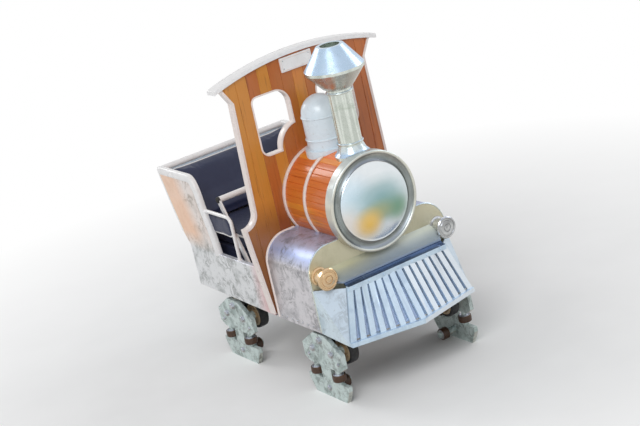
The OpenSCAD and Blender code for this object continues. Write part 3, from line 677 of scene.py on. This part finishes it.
def smokebox():
    """Rolled ring, the hollow inside it and the door."""
    ring_lo, ring_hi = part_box("smokebox_ring")
    door_lo, door_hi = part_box("smokebox_door")
    door_r = door_hi.y - 0.010
    axis = frame_along((0, 0, BOILER_Z), (1, 0, 0))
    smokebox_rim(axis, ring_lo.x, ring_hi.x, ring_hi.y)
    smokebox_cove(axis, ring_hi.x, ring_hi.y - 2 * RIM_R, door_r + 0.001)
    door_dome(axis, door_lo.x, door_hi.x, door_r)


def stack():
    """The smokestack's own shape with its round faces shaded evenly, and a bead at each end of its neck."""
    finish_piece("stack_shell", joined("smokestack"), "bright", BODY, ["smokestack"], 30)
    lo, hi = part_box("smokestack")
    neck_r, foot_z, head_z = 0.0705, 1.376, hi.z - 0.262
    place = Matrix.Translation(((lo.x + hi.x) / 2, 0, 0))
    bm = bmesh.new()
    for z in (head_z, foot_z):
        add_lathe(bm, bead(neck_r, z, 0.006), place, 64)
    finish_piece("stack_beads", bm, "bright", BODY)


def dome_beads():
    """Beads round the steam dome, above its foot and below its shoulder."""
    lo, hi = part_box("steam_dome")
    dome_r, foot_z, shoulder_z = 0.1105, 1.378, 1.508
    place = Matrix.Translation(((lo.x + hi.x) / 2, 0, 0))
    bm = bmesh.new()
    for z in (foot_z, shoulder_z):
        add_lathe(bm, bead(dome_r, z, 0.005), place, 72)
    finish_piece("dome_beads", bm, "dome", BODY)


def buffer_heads():
    """Buffers with turned rings on their faces."""
    lo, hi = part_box("buffers")
    z = (lo.z + hi.z) / 2
    r = (hi.z - lo.z) / 2
    y = hi.y - r
    face = hi.x - lo.x - 0.004
    foot = [(0, 0), (0.052, 0), (0.052, 0.008), (0.044, 0.012), (0.044, 0.066), (0.050, 0.072)]
    rim = [(r - 0.006, 0.081), (r, 0.086), (r, 0.094), (r - 0.005, 0.099), (r - 0.012, 0.0995)]
    groove = [(r - 0.014, 0.096), (r - 0.021, 0.096), (r - 0.023, face)]
    boss = [(0.026, face + 0.002), (0.024, face - 0.002), (0.019, face - 0.002), (0.017, face + 0.002),
            (0.008, face + 0.004), (0, face + 0.004)]
    bm = bmesh.new()
    for side in (-1, 1):
        add_lathe(bm, foot + rim + groove + boss, frame_along((lo.x, side * y, z), (1, 0, 0)), 64)
    finish_piece("buffer_heads", bm, "buffer", BODY, ["buffers"], 28)


def fairing_edges():
    """Pale seal at the cab and rolled hem at the front, both round the fairing's shoulders."""
    lo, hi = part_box("fairing")
    r, inner = 0.150, 0.25
    arc = [radians(a) for a in range(0, 91, 9)]
    shoulder = [(hi.y - r + r * cos(a), hi.z - r + r * sin(a)) for a in arc]
    edges = (("fairing_seal", lo.x + 0.006, 0.008, "trim", "white_paint"),
             ("fairing_hem", hi.x - 0.004, 0.005, "bright", "polished_steel"))
    for name, x, thick, material, slot in edges:
        bm = bmesh.new()
        for side in (-1, 1):
            path = [(x, side * hi.y, lo.z + 0.01)]
            path += [(x, side * y, z) for y, z in shoulder]
            path += [(x, side * inner, hi.z)]
            add_tube(bm, path, thick, 10)
        finish_piece(name, bm, material, BODY)


def fairing_rivets():
    """Rivets along the foot of the skirt and up its front edge."""
    lo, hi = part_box("fairing")
    row_z, pitch, rise = lo.z + 0.022, 0.055, 0.075
    bm = bmesh.new()
    for side in (-1, 1):
        for k in range(8):
            add_rivet(bm, (lo.x + 0.04 + k * pitch, side * hi.y, row_z), (0, side, 0), 0.006)
        for k in range(4):
            add_rivet(bm, (hi.x - 0.02, side * hi.y, row_z + (k + 1) * rise), (0, side, 0), 0.005)
    finish_piece("fairing_rivets", bm, "zinc", BODY)


def pilot_bolts():
    """Bolts along the pilot's top bar."""
    x, z, pitch = 0.854, 0.660, 0.1
    bm = bmesh.new()
    for k in range(-3, 4):
        add_bolt(bm, (x, pitch * k, z), (1, 0, 0), 0.006)
    finish_piece("pilot_bolts", bm, "slat", BODY)


def nose_shade_sheet():
    """Dark blue sheet as painted shade in the recess between the nose shelf's lip and the pilot's top bar."""
    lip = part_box("nose_shelf")[1].x
    bar_x, bar_z, half = 0.8545, 0.6745, 0.336
    shade_outline = [(lip - 0.004, 0.6895), (lip + 0.004, 0.684), (lip + 0.014, 0.679), (bar_x, bar_z + 0.001),
            (bar_x, bar_z), (lip - 0.004, bar_z)]
    bm = bmesh.new()
    add_prism(bm, *[[(x, y, z) for x, z in shade_outline] for y in (-half, half)])
    finish_piece("nose_shade_sheet", bm, "navy", BODY)


# Cab

# Width of a board
BOARD = 0.074


def add_wedge(bm, x, way, y):
    """Upright V over the face at x, cutting into it along way."""
    depth, out, half, low_z, high_z = 0.003, 0.002, 0.004, 0.3, 2.0
    corners = ((x + way * depth, y), (x - way * out, y - half), (x - way * out, y + half))
    add_prism(bm, *[[(*corner, z) for corner in corners] for z in (low_z, high_z)])


def groove_cutter(lo, hi):
    """A wedge on both faces of the cab front at each joint between boards."""
    bm = bmesh.new()
    count = int(hi.y / BOARD)
    for k in range(-count, count + 1):
        for x, way in ((lo.x, 1), (hi.x, -1)):
            add_wedge(bm, x, way, (k + 0.5) * BOARD)
    bmesh.ops.recalc_face_normals(bm, faces=bm.faces)
    return loose_object("cab_cutter", bm)


def cab_boards():
    """The cab front as upright boards: the CAD solid with V grooves cut into both faces."""
    solid = loose_object("cab_solid", joined("cab_front"))
    cutter = groove_cutter(*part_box("cab_front"))
    grooves = solid.modifiers.new("Grooves", "BOOLEAN")
    grooves.object = cutter
    grooves.operation = "DIFFERENCE"
    grooves.solver = "EXACT"
    bpy.context.view_layer.update()
    bake(solid)
    bm = bmesh.new()
    bm.from_mesh(solid.data)
    bpy.data.objects.remove(cutter)
    bpy.data.objects.remove(solid)
    tone = bm.faces.layers.float.new("tone")
    for face in bm.faces:
        board = round(face.calc_center_median().y / BOARD)
        face[tone] = noise.cell(Vector((board + 0.5, 1.7, 4.2)))
    finish_piece("cab_boards", bm, "cab", BODY, ["cab_front"], 3)


def plate_details():
    """Raised border and screws on the blank plate."""
    lo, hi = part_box("name_plate")
    x, edge, inset = hi.x, 0.008, 0.018
    border = [(x, lo.y + edge, lo.z + edge), (x, hi.y - edge, lo.z + edge),
              (x, hi.y - edge, hi.z - edge), (x, lo.y + edge, hi.z - edge)]
    bm = bmesh.new()
    add_tube(bm, border, 0.003, 8, closed=True)
    finish_piece("plate_border", bm, "trim", BODY)
    bm = bmesh.new()
    for y in (lo.y + inset, hi.y - inset):
        for z in (lo.z + inset, hi.z - inset):
            add_rivet(bm, (x, y, z), (1, 0, 0), 0.004)
    finish_piece("plate_screws", bm, "zinc", BODY)


# Cockpit

# Rear and front edges of the wings, as (x, z)
BACK_EDGE = ((-0.695, 0.430), (-0.697, 0.690), (-0.755, 0.775), (-0.835, 0.964), (-0.908, 1.155))
WING_EDGE = ((-0.495, 1.155), (-0.455, 1.070), (-0.437, 0.970), (-0.390, 0.829), (-0.362, 0.692))
# The wings' middle, across
SIDE_MIDDLE = 0.455
# The lap bar's grip and its pivot, as (x, z)
BAR = (-0.335, 1.015)
PIVOT = (-0.095, 0.560)


def wing_edging():
    """Broad rolled edging over the wings' tops and fronts, round edging behind and over the seat's back."""
    inset, broad_r, wide = 0.008, 0.0185, 1.4
    rear_r, top_r, corner = 0.0172, 0.020, 0.02
    front = [(x - inset, z) for x, z in WING_EDGE[::-1]]
    front[0] = (front[0][0] + 0.005, front[0][1] - 0.014)
    rear = [(x + 0.002, z) for x, z in BACK_EDGE[::-1]]
    top = [(front[-1][0], front[-1][1] - inset), (rear[0][0] + corner, rear[0][1] - inset)]
    bm = bmesh.new()
    for y in (-SIDE_MIDDLE, SIDE_MIDDLE):
        path = [(x, y, z) for x, z in front[:-1] + top]
        add_tube(bm, rounded(path, 0.04), broad_r, 20, wide=wide, first=(0, 1, 0), boxy=0.6)
        path = [(rear[0][0] + corner, y, rear[0][1])] + [(x, y, z) for x, z in rear[:3]]
        add_tube(bm, rounded(path, 0.02), rear_r, 14)
    x, z = BACK_EDGE[-1]
    across = [(x + 0.013, y, z - 0.004) for y in (-SIDE_MIDDLE, -0.2, 0.2, SIDE_MIDDLE)]
    add_tube(bm, across, top_r, 16)
    finish_piece("wing_edging", bm, "white", BODY)


def bar_details():
    """Caps on the lap bar's ends, and bolts at its pivots."""
    end_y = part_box("lap_bar")[1].y
    bolt_y = 0.376
    cap = [(0, 0.006), (0.014, 0.005), (0.0195, 0.001), (0.0195, -0.012), (0, -0.012)]
    bm = bmesh.new()
    for side in (-1, 1):
        add_lathe(bm, cap, frame_along((BAR[0], side * end_y, BAR[1]), (0, side, 0)), 28)
    finish_piece("bar_caps", bm, "black", "restraint")
    bm = bmesh.new()
    for side in (-1, 1):
        add_bolt(bm, (PIVOT[0], side * bolt_y, PIVOT[1]), (0, -side, 0), 0.011)
    finish_piece("pivot_bolts", bm, "zinc", BODY)


def floor_mat():
    """Ribbed rubber mat in the footwell."""
    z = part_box("floor_pan")[1].z
    x0, x1, half = -0.128, 0.185, 0.372
    top, rib, inset = z + 0.0025, 0.02, 0.01
    bm = bmesh.new()
    add_block(bm, (x0, -half, z - 0.0005), (x1, half, top), 0.001)
    count = int((x1 - x0) / rib)
    for k in range(count):
        x = x0 + (k + 0.5) * (x1 - x0) / count
        add_tube(bm, [(x, -half + inset, top), (x, half - inset, top)], 0.0028, 8)
    finish_piece("floor_mat", bm, "black", BODY)


# Soft goods
def soft_source(name, node, inset, voxel):
    """The node's shape, a little smaller, remeshed into even cells with softened edges."""
    mesh = NODES[node].data.copy()
    lo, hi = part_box(node)
    middle = (lo + hi) / 2
    for v in mesh.vertices:
        for k in range(3):
            half = (hi[k] - lo[k]) / 2
            v.co[k] = middle[k] + (v.co[k] - middle[k]) * max(0.5, (half - inset[k]) / half)
    mesh.materials.clear()
    obj = new_object(name, mesh)
    cells = obj.modifiers.new("Cells", "REMESH")
    cells.mode = "VOXEL"
    cells.voxel_size = voxel
    soften = obj.modifiers.new("Soften", "SMOOTH")
    soften.factor = 0.5
    soften.iterations = 6
    bake(obj)
    return obj


def inflate(obj, pressure, cap, rest_z):
    """Cloth filled with air for some frames. No point moves further than cap or below rest_z."""
    frames = 20
    before = [v.co.copy() for v in obj.data.vertices]
    cloth = obj.modifiers.new("Cloth", "CLOTH")
    cloth.settings.use_pressure = True
    cloth.settings.uniform_pressure_force = pressure
    cloth.settings.tension_stiffness = 12
    cloth.settings.compression_stiffness = 12
    cloth.settings.bending_stiffness = 0.6
    cloth.settings.quality = 5
    cloth.settings.effector_weights.gravity = 0
    cloth.point_cache.frame_start = 1
    cloth.point_cache.frame_end = frames
    scene = bpy.context.scene
    for f in range(1, frames + 1):
        scene.frame_set(f)
    evaluated = obj.evaluated_get(bpy.context.evaluated_depsgraph_get())
    after = [v.co.copy() for v in evaluated.to_mesh().vertices]
    evaluated.to_mesh_clear()
    obj.modifiers.clear()
    scene.frame_set(1)
    for v, a, b in zip(obj.data.vertices, before, after):
        move = b - a
        if move.length > cap:
            move *= cap / move.length
        v.co = a + move
        v.co.z = max(v.co.z, rest_z)


def pad(name, node, inset, voxel, pressure, cap):
    """A sewn, stuffed pad in a CAD node's place."""
    obj = soft_source(name, node, inset, voxel)
    inflate(obj, pressure, cap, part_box(node)[0].z + 0.001)
    smooth = obj.modifiers.new("Fine", "SUBSURF")
    smooth.levels = 1
    smooth.render_levels = 1
    bake(obj)
    obj.data.polygons.foreach_set("use_smooth", [True] * len(obj.data.polygons))
    obj.data.materials.clear()
    obj.data.materials.append(MAT["vinyl"].data)
    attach(obj, BODY)
    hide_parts(node)
    return obj


def piping(name, surface, path, radius):
    """Sewn cord laid on a pad: each point of the path goes to the nearest place on its surface."""
    tree = BVHTree.FromPolygons([v.co for v in surface.data.vertices],
                                [tuple(p.vertices) for p in surface.data.polygons])
    points = [tree.find_nearest(Vector(p))[0] for p in path]
    for _ in range(2):
        kept = points[:]
        for i in range(1, len(points) - 1):
            points[i] = 0.25 * kept[i - 1] + 0.5 * kept[i] + 0.25 * kept[i + 1]
    bm = bmesh.new()
    add_tube(bm, points, radius, 10)
    finish_piece(name, bm, "piping", BODY)


def dense(points, step=0.02):
    """The path with a point at least every step."""
    out = []
    points = [Vector(p) for p in points]
    for a, b in zip(points, points[1:]):
        n = max(1, int((b - a).length / step))
        out += [a.lerp(b, i / n) for i in range(n)]
    return out + [points[-1]]


def seat_pad():
    """Seat cushion, with piping round its front edge and sides."""
    cushion = pad("seat_pad", "seat_cushion", (0.004, 0.006, 0.012), 0.008, 4.0, 0.016)
    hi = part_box("seat_cushion")[1]
    rear, edge_z, corner = -0.72, hi.z - 0.004, 0.012
    side = [(rear, hi.y, edge_z), (hi.x - corner, hi.y, edge_z), (hi.x, hi.y - corner, edge_z - 0.008)]
    path = side + [(x, -y, z) for x, y, z in side[::-1]]
    piping("seat_piping", cushion, dense(path), 0.006)


def back_pad():
    """Back cushion, with piping up its sides and over its top."""
    rest = pad("back_pad", "seat_backrest", (0.004, 0.006, 0.002), 0.009, 4.0, 0.018)
    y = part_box("seat_backrest")[1].y
    side = [(-0.66, y, 0.83), (-0.75, y, 0.98), (-0.82, y, 1.12), (-0.84, y - 0.03, 1.148)]
    path = side + [(x, -y, z) for x, y, z in side[::-1]]
    piping("back_piping", rest, dense(path), 0.0045)


def hip_bolsters():
    """Hip pads at both sides, with piping round their lower and front edges."""
    hips = pad("hip_bolsters", "hip_pads", (0.003, 0.001, 0.004), 0.005, 4.0, 0.007)
    lo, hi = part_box("hip_pads")
    edge = [(-0.374, lo.z), (-0.190, lo.z), (-0.150, lo.z + 0.028), (-0.168, hi.z - 0.03)]
    for side, name in ((-1, "right_hip_piping"), (1, "left_hip_piping")):
        path = [(x, side * (hi.y - 0.004), z) for x, z in edge]
        piping(name, hips, dense(rounded(path, 0.02)), 0.007)


def bench_cover():
    """Vinyl over the bench box."""
    pad("bench_cover", "seat_bench", (0.003, 0.003, 0.001), 0.008, 3.0, 0.006)


# Running gear
def wheel_meshes(kind, r, w, bore):
    """Tyre and hub of one kind of wheel, about the Z axis. A large hub has bolts round both faces."""
    h = w / 2
    shoulder = [(0.80 * r, -h + 0.006), (0.83 * r, -h + 0.001), (0.93 * r, -h + 0.001),
                (0.975 * r, -h + 0.004)]
    crown = [(r * (1 - 0.018 * (t * t)), t * (h - 0.007)) for t in (-1, -0.6, -0.2, 0.2, 0.6, 1)]
    tyre = bmesh.new()
    add_lathe(tyre, shoulder + crown + mirrored(shoulder), Matrix(), 64)
    web, web_r, boss_r = 0.55 * h, 0.62 * r, bore + 0.013
    face = [(bore, -h), (boss_r - 0.002, -h), (boss_r, -h + 0.002), (boss_r, -web), (web_r, -web),
            (0.68 * r, -h + 0.002), (0.72 * r, -h), (0.79 * r, -h), (0.805 * r, -h + 0.003)]
    hub = bmesh.new()
    add_lathe(hub, face + mirrored(face), Matrix(), 64)
    if r > 0.05:
        bolts_r = 0.5 * (boss_r + web_r)
        for side in (-1, 1):
            for a in [2 * pi * k / 6 for k in range(6)]:
                add_bolt(hub, (bolts_r * cos(a), bolts_r * sin(a), side * web), (0, 0, side), 0.0055)
    return mesh_from(kind + "_tyre", tyre, 30), mesh_from(kind + "_hub", hub, 30)


# Kind, ends of a carrier that have one, axis, bore, the tyre's and the hub's material, and slot
WHEELS = (
    ("run_wheel", ("_a", "_b"), (0, 1, 0), 0.015, ("black", "tan"), "wheel_black"),
    ("side_wheel", ("_a", "_b"), (0, 0, 1), 0.010, ("brown", "zinc"), "wheel_brown"),
    ("stop_wheel", ("",), (0, 1, 0), 0.012, ("brown", "zinc"), "wheel_brown"),
)


def place_wheel(node, meshes, axis):
    """Tyre and hub of one wheel, riding on its body. The tyre stands for the node."""
    lo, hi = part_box(node)
    for mesh, part in zip(meshes, ("tyre", "hub")):
        obj = new_object(f"{node}_{part}", mesh)
        obj.matrix_world = frame_along((lo + hi) / 2, axis)
        bpy.context.view_layer.update()
        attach(obj, node)
        if part == "tyre":
            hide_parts(node)


def wheels():
    for kind, ends, axis, bore, materials, slot in WHEELS:
        lo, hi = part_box(kind + "_fl" + ends[0])
        along = 1 if axis[1] else 2
        meshes = wheel_meshes(kind, (hi.x - lo.x) / 2, hi[along] - lo[along], bore)
        for mesh, material in zip(meshes, materials):
            mesh.materials.append(MAT[material].data)
        for corner in CORNERS:
            for end in ends:
                place_wheel(f"{kind}_{corner}{end}", meshes, axis)


# Outer face of the carrier plates, across
PLATE_Y = 0.461
# How far the nuts on the running wheels' inner sides lie in from the wheels' middles
NUT_IN = 0.039
# How far the axle's nut lies below the plate's top
NUT_BELOW = 0.037
# Edge bolts: their height, and how far they are from the plate's middle
EDGE_BOLT_Z = 0.235
EDGE_BOLT_X = 0.15


def add_carrier_bolts(bm, corner):
    """Nuts of the wheels' pins, axle nut and edge bolts on one carrier plate."""
    side = 1 if corner[1] == "l" else -1
    lo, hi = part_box("carrier_" + corner)
    plate, middle = side * PLATE_Y, (lo.x + hi.x) / 2
    for end in "ab":
        at = sum(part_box(f"run_wheel_{corner}_{end}"), Vector()) / 2
        add_bolt(bm, (at.x, plate, at.z), (0, side, 0), 0.017)
        add_bolt(bm, (at.x, side * (abs(at.y) - NUT_IN), at.z), (0, -side, 0), 0.014)
    at = sum(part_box("stop_wheel_" + corner), Vector()) / 2
    add_bolt(bm, (at.x, plate, at.z), (0, side, 0), 0.014)
    add_bolt(bm, (middle, plate, hi.z - NUT_BELOW), (0, side, 0), 0.018)
    for dx in (-EDGE_BOLT_X, EDGE_BOLT_X):
        add_bolt(bm, (middle + dx, plate, EDGE_BOLT_Z), (0, side, 0), 0.009)


def gear_bolts():
    """The bolts of each pair of carriers, which steer with their axle."""
    for end in ("front", "rear"):
        bm = bmesh.new()
        for corner in CORNERS:
            if corner[0] == end[0]:
                add_carrier_bolts(bm, corner)
        finish_piece(end + "_gear_bolts", bm, "zinc", end + "_running_gear")


# Stage, lamps, camera
def floor():
    """Pale floor that keeps the shadow and turns into plain white away from the car."""
    bpy.ops.mesh.primitive_plane_add(size=60, location=(0, 0, 0))
    plane = bpy.context.object
    plane.name = "floor"
    shadow_r, white_r = 1.3, 4.2
    m = Material("floor_paint", Roughness=0.9)
    m.into("Base Color", m.ramp(m.noise(1.5, 3.0), (0.3, 0.84), (0.7, 0.88)))
    length = m.nodes.new("ShaderNodeVectorMath")
    length.operation = "LENGTH"
    m.links.new(m.place, length.inputs[0])
    far = m.scaled(length.outputs["Value"], shadow_r, white_r)
    share = m.nodes.new("ShaderNodeMath")
    share.operation = "MULTIPLY"
    m.links.new(far, share.inputs[0])
    m.links.new(seen_ray(m.data.node_tree), share.inputs[1])
    glow = m.nodes.new("ShaderNodeEmission")
    blend = m.nodes.new("ShaderNodeMixShader")
    m.links.new(share.outputs["Value"], blend.inputs["Fac"])
    m.links.new(m.shader.outputs["BSDF"], blend.inputs[1])
    m.links.new(glow.outputs["Emission"], blend.inputs[2])
    m.links.new(blend.outputs["Shader"], m.nodes["Material Output"].inputs["Surface"])
    plane.data.materials.append(m.data)


def seen_ray(tree):
    """1 for rays that show the background: from the camera, a gloss or a transmission."""
    path = tree.nodes.new("ShaderNodeLightPath")
    value = path.outputs["Is Camera Ray"]
    for name in ("Is Glossy Ray", "Is Transmission Ray"):
        either = tree.nodes.new("ShaderNodeMath")
        either.operation = "MAXIMUM"
        tree.links.new(value, either.inputs[0])
        tree.links.new(path.outputs[name], either.inputs[1])
        value = either.outputs["Value"]
    return value


def world():
    """White where it is seen, plain soft light elsewhere."""
    studio = bpy.data.worlds.new("studio")
    bpy.context.scene.world = studio
    studio.use_nodes = True
    tree = studio.node_tree
    soft = tree.nodes["Background"]
    soft.inputs["Color"].default_value = (0.96, 0.98, 1.0, 1)
    soft.inputs["Strength"].default_value = 0.42
    white = tree.nodes.new("ShaderNodeBackground")
    white.inputs["Color"].default_value = (1, 1, 1, 1)
    blend = tree.nodes.new("ShaderNodeMixShader")
    tree.links.new(seen_ray(tree), blend.inputs["Fac"])
    tree.links.new(soft.outputs["Background"], blend.inputs[1])
    tree.links.new(white.outputs["Background"], blend.inputs[2])
    tree.links.new(blend.outputs["Shader"], tree.nodes["World Output"].inputs["Surface"])


# Name, place, size and power of the lamps, and the place that they face
LAMPS = (
    ("key", (5.5, -5.0, 7.0), 4.5, 420.0),
    ("fill", (1.5, 7.5, 4.5), 4.0, 130.0),
    ("rim", (-6.5, -2.5, 5.0), 3.0, 140.0),
)
LIT = Vector((0.2, 0, 0.9))


def lamps():
    for name, at, size, power in LAMPS:
        data = bpy.data.lights.new(name, "AREA")
        data.size = size
        data.energy = power
        lamp = bpy.data.objects.new(name, data)
        lamp.matrix_world = frame_along(at, Vector(at) - LIT)
        bpy.context.scene.collection.objects.link(lamp)


def camera():
    """The photo's camera, which is held level beside a banked track."""
    loc = Vector((8.4266, -4.6974, 3.9621))
    aim = Vector((0.978, -0.480, 1.182))
    roll = radians(-12.71)
    ahead = (aim - loc).normalized()
    level = ahead.cross(Vector((0, 0, 1))).normalized()
    above = level.cross(ahead)
    right = level * cos(roll) + above * sin(roll)
    up = right.cross(ahead)
    data = bpy.data.cameras.new("photo_view")
    data.lens = 96.525
    data.sensor_width = 36
    cam = bpy.data.objects.new("photo_view", data)
    cam.matrix_world = Matrix((right, up, -ahead)).transposed().to_4x4()
    cam.matrix_world.translation = loc
    bpy.context.scene.collection.objects.link(cam)
    bpy.context.scene.camera = cam


bpy.context.scene.view_settings.view_transform = "Standard"
dress_frame()
boiler_staves()
smokebox()
stack()
dome_beads()
buffer_heads()
fairing_edges()
fairing_rivets()
pilot_bolts()
nose_shade_sheet()
cab_boards()
plate_details()
wing_edging()
bar_details()
floor_mat()
seat_pad()
back_pad()
hip_bolsters()
bench_cover()
wheels()
gear_bolts()
floor()
world()
lamps()
camera()
